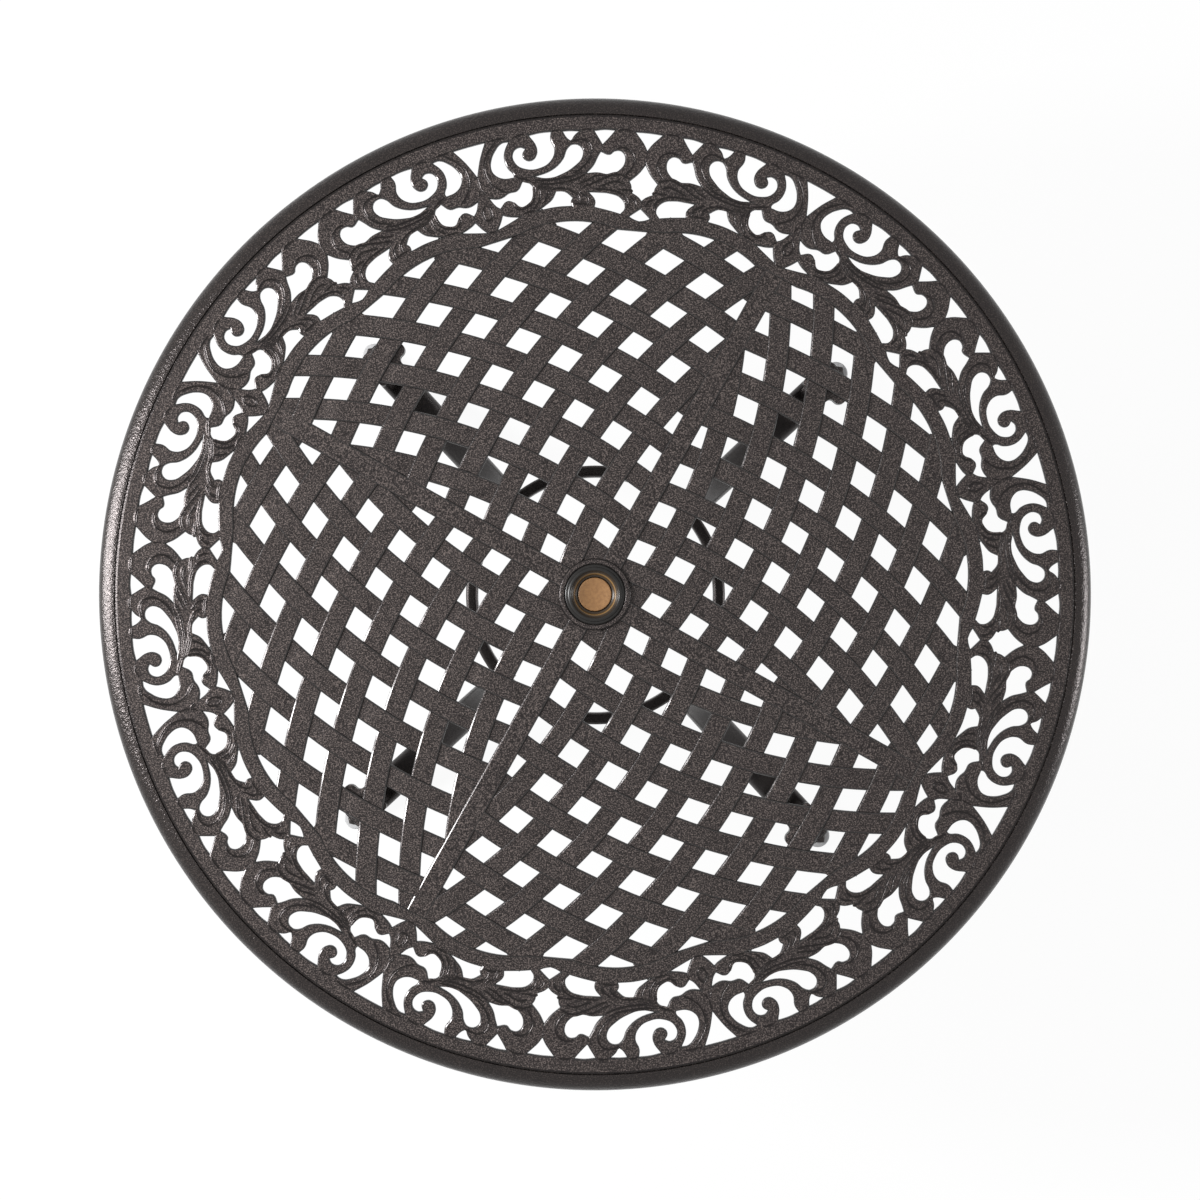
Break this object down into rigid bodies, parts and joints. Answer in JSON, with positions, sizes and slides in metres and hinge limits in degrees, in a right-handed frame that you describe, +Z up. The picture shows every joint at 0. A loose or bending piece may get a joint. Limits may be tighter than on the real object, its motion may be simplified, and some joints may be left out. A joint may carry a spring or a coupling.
{
  "type": "round garden table",
  "caption": "Round cast-metal garden table with a woven lattice centre, pierced scroll border, rolled rim, umbrella hole with plug, and bowed legs tied by a hoop.",
  "frame": {"origin": "centre of the table on the floor", "axes": "+Z up, legs on the diagonals between X and Y"},
  "size_m": [1.2198, 1.22, 0.734],
  "materials": {
    "bronze_casting": "dark bronze hammered powder coat",
    "zinc_steel": "zinc plated",
    "brass_insert": "turned",
    "black_gloss": "gloss",
    "tan_plug": "satin",
    "grey_pad": "matte"
  },
  "bodies": {
    "table": {"top_rim": "bronze_casting", "scroll_border": "bronze_casting", "lattice_panel": "bronze_casting", "leg_a": "bronze_casting", "leg_b": "bronze_casting", "leg_c": "bronze_casting", "leg_d": "bronze_casting", "stretcher_hoop": "bronze_casting", "leg_mount_bolts": "zinc_steel", "leg_mount_washers": "zinc_steel", "leg_lock_washers": "zinc_steel", "hoop_bolts": "zinc_steel", "hoop_washers": "zinc_steel", "hoop_cap_nuts": "zinc_steel", "foot_inserts": "brass_insert"},
    "grommet": {"umbrella_grommet": "black_gloss"},
    "plug": {"umbrella_plug": "tan_plug"},
    "leveler_a": {"leveler_stud_a": "zinc_steel", "leveler_pad_a": "grey_pad"},
    "leveler_b": {"leveler_stud_b": "zinc_steel", "leveler_pad_b": "grey_pad"},
    "leveler_c": {"leveler_stud_c": "zinc_steel", "leveler_pad_c": "grey_pad"},
    "leveler_d": {"leveler_stud_d": "zinc_steel", "leveler_pad_d": "grey_pad"}
  },
  "joints": [
    {"name": "grommet_lift", "type": "slide", "parent": "table", "child": "grommet", "axis": [0, 0, 1], "range_m": [0, 0.07]},
    {"name": "plug_lift", "type": "slide", "parent": "grommet", "child": "plug", "axis": [0, 0, 1], "range_m": [0, 0.05]},
    {"name": "leveler_screw_a", "type": "slide", "parent": "table", "child": "leveler_a", "axis": [0, 0, -1], "range_m": [0, 0.01]},
    {"name": "leveler_screw_b", "type": "slide", "parent": "table", "child": "leveler_b", "axis": [0, 0, -1], "range_m": [0, 0.01]},
    {"name": "leveler_screw_c", "type": "slide", "parent": "table", "child": "leveler_c", "axis": [0, 0, -1], "range_m": [0, 0.01]},
    {"name": "leveler_screw_d", "type": "slide", "parent": "table", "child": "leveler_d", "axis": [0, 0, -1], "range_m": [0, 0.01]}
  ]
}
